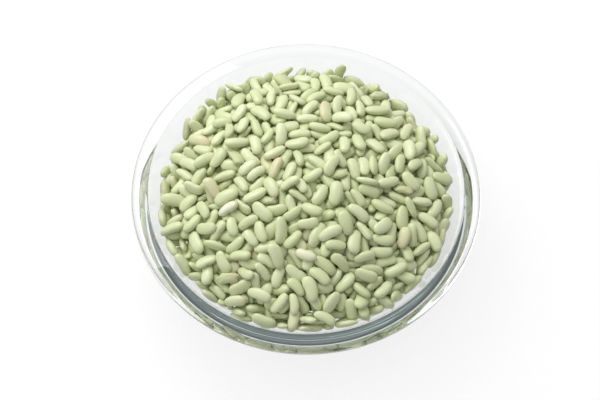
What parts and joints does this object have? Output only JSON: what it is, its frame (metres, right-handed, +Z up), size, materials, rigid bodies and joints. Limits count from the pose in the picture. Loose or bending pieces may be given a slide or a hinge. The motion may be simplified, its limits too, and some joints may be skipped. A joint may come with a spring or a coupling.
{
  "type": "bowl of dried beans",
  "caption": "Shallow clear glass bowl with a thick flaring wall, a rounded rim and a ring foot, heaped with small pale green dried beans.",
  "frame": {"origin": "centre of the bowl's foot, on the surface that the bowl stands on", "axes": "+Z up along the bowl's axis, -Y towards the viewer in front of the bowl, +X to the viewer's right"},
  "size_m": [0.2, 0.2, 0.0705],
  "materials": {
    "glass": "clear, smooth, pressed",
    "beans": "dry, smooth bean skin with a faint sheen"
  },
  "bodies": {
    "root": {"glass_bowl": "glass", "bean_heap": "beans"}
  },
  "joints": []
}
